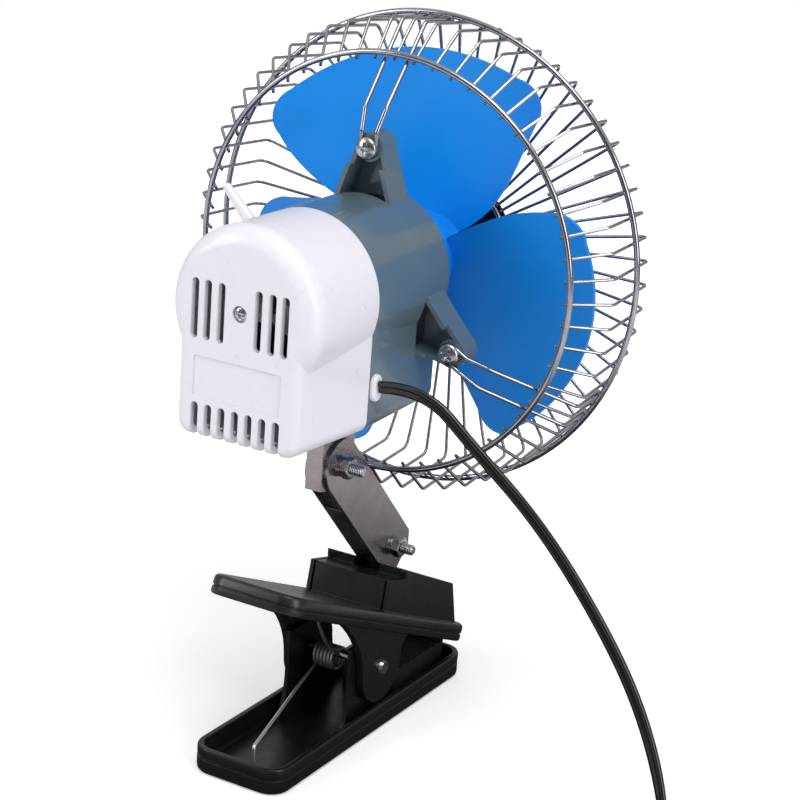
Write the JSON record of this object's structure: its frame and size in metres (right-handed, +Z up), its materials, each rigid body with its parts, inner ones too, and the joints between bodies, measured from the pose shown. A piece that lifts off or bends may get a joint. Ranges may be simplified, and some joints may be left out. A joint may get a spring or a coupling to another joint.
{
  "type": "clip fan",
  "caption": "Wire-guarded clip-on fan with a boxy motor housing, tilting link, spring clip and a 12 V plug on a thin flat cord.",
  "frame": {"origin": "on the ground, under the middle of the fan's own box, cord left out", "axes": "+Z up, fan blows towards -Y, +X to the left of the fan as it faces"},
  "size_m": [0.2451, 0.1882, 0.2597],
  "materials": {
    "black_moulding": "satin moulded",
    "black_rubber": "matt",
    "zinc_steel": "bright zinc plated",
    "spring_steel": "bright drawn",
    "link_steel": "satin nickel",
    "gear_plastic": "natural moulded",
    "grey_moulding": "gloss moulded",
    "white_moulding": "gloss moulded",
    "chrome_wire": "polished",
    "badge_moulding": "gloss moulded",
    "blue_moulding": "gloss moulded",
    "bronze": "sintered",
    "magnet": "sintered ferrite",
    "core_steel": "stacked sheet",
    "copper_wire": "enamelled",
    "carbon": "pressed",
    "cord_jacket": "gloss extruded"
  },
  "bodies": {
    "lower_clip": {"lower_jaw": "black_moulding", "lower_grip_pad": "black_rubber", "pivot_pin": "zinc_steel", "torsion_spring": "spring_steel"},
    "upper_clip": {"upper_jaw": "black_moulding", "upper_grip_pad": "black_rubber"},
    "link": {"link_channel": "link_steel", "link_bolts": "zinc_steel", "link_nuts": "zinc_steel", "link_washers": "zinc_steel"},
    "neck": {"neck_tongue": "link_steel", "swing_post": "zinc_steel", "post_clip": "spring_steel", "drive_arm": "zinc_steel"},
    "rod": {"drive_rod": "gear_plastic"},
    "head": {"front_housing": "grey_moulding", "rear_cover": "white_moulding", "cover_screw": "zinc_steel", "cord_grommet": "white_moulding", "guard_screws": "zinc_steel", "guard_rear_ring": "chrome_wire", "guard_outer_ring": "chrome_wire", "guard_inner_ring": "chrome_wire", "guard_ribs": "chrome_wire", "guard_legs": "chrome_wire", "guard_badge": "badge_moulding", "motor_can": "zinc_steel", "motor_end_cap": "gear_plastic", "shaft_bushes": "bronze", "motor_magnets": "magnet", "motor_brushes": "carbon", "gear_frame": "gear_plastic", "power_cord": "cord_jacket", "cord_coil": "cord_jacket", "cord_tie": "black_moulding", "plug_lead": "cord_jacket", "plug_shell": "black_moulding", "plug_side_contacts": "spring_steel", "plug_cap": "black_moulding", "plug_tip": "zinc_steel"},
    "fan": {"fan_blades": "blue_moulding", "motor_shaft": "zinc_steel", "armature_core": "core_steel", "armature_windings": "copper_wire", "commutator": "copper_wire", "worm": "bronze"},
    "crank": {"worm_wheel": "gear_plastic", "gear_shaft": "zinc_steel", "crank_disc": "gear_plastic"},
    "knob": {"oscillation_knob": "white_moulding"}
  },
  "joints": [
    {"name": "jaw_open", "type": "hinge", "parent": "lower_clip", "child": "upper_clip", "pos_m": [0, -0.0084, 0.0246], "axis": [-1, 0, 0], "range_deg": [0, 28], "stiffness_Nm_per_rad": 0.5, "springref_deg": -68.75, "deforming": ["torsion_spring"]},
    {"name": "lower_tilt", "type": "hinge", "parent": "upper_clip", "child": "link", "pos_m": [0, -0.0327, 0.0619], "axis": [1, 0, 0], "range_deg": [-20, 60]},
    {"name": "upper_tilt", "type": "hinge", "parent": "link", "child": "neck", "pos_m": [0, 0.0083, 0.1044], "axis": [-1, 0, 0], "range_deg": [0, 35]},
    {"name": "head_swing", "type": "hinge", "parent": "neck", "child": "head", "pos_m": [0, 0.0083, 0.13], "axis": [0, 0, 1], "range_deg": [-45, 45]},
    {"name": "rod_pivot", "type": "hinge", "parent": "neck", "child": "rod", "pos_m": [-0.008, 0.0083, 0.1345], "axis": [0, 0, 1], "range_deg": [-45, 45]},
    {"name": "fan_spin", "type": "hinge", "parent": "head", "child": "fan", "pos_m": [0, 0, 0.1726], "axis": [0, 1, 0], "continuous": true},
    {"name": "crank_turn", "type": "hinge", "parent": "head", "child": "crank", "pos_m": [-0.0128, 0.0483, 0.1726], "axis": [0, 0, 1], "continuous": true},
    {"name": "knob_pull", "type": "slide", "parent": "head", "child": "knob", "axis": [0.7071, 0, 0.7071], "range_m": [0, 0.004]}
  ],
  "couplings": [
    {"joint": "rod_pivot", "follows": "head_swing", "ratio": 1},
    {"joint": "crank_turn", "follows": "fan_spin", "ratio": -0.041667}
  ]
}
